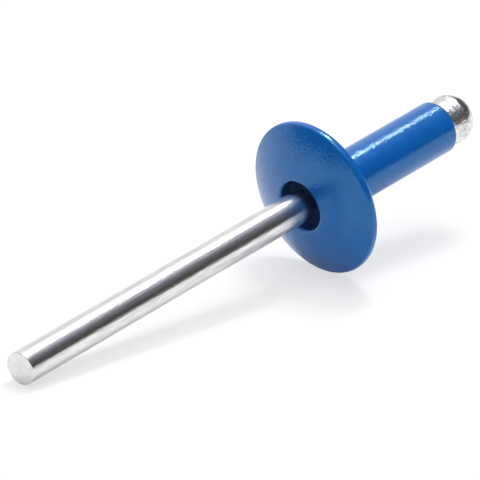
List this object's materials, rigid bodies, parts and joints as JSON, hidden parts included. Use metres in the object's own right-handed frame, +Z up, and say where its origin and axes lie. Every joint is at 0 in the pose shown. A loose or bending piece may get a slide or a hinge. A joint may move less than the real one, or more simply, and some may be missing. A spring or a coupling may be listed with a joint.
{
  "type": "pop rivet",
  "caption": "Large-flange blind rivet lying on its side: a painted tubular body with a domed flange, threaded on a headed steel mandrel.",
  "frame": {"origin": "centre of the lying rivet's footprint box, on the floor", "axes": "+X along the floor from the mandrel's tail to its head, +Z up; the rivet's own axis leans up from +X by the angle at which its rim and its tail rest on the floor"},
  "size_m": [0.052, 0.014, 0.0138],
  "materials": {
    "blue_paint": "gloss blue coat with slight orange peel over aluminium",
    "bright_steel": "bright zinc-plated drawn steel wire with fine lines along it"
  },
  "bodies": {
    "root": {"rivet_body": "blue_paint", "mandrel": "bright_steel"}
  },
  "joints": []
}
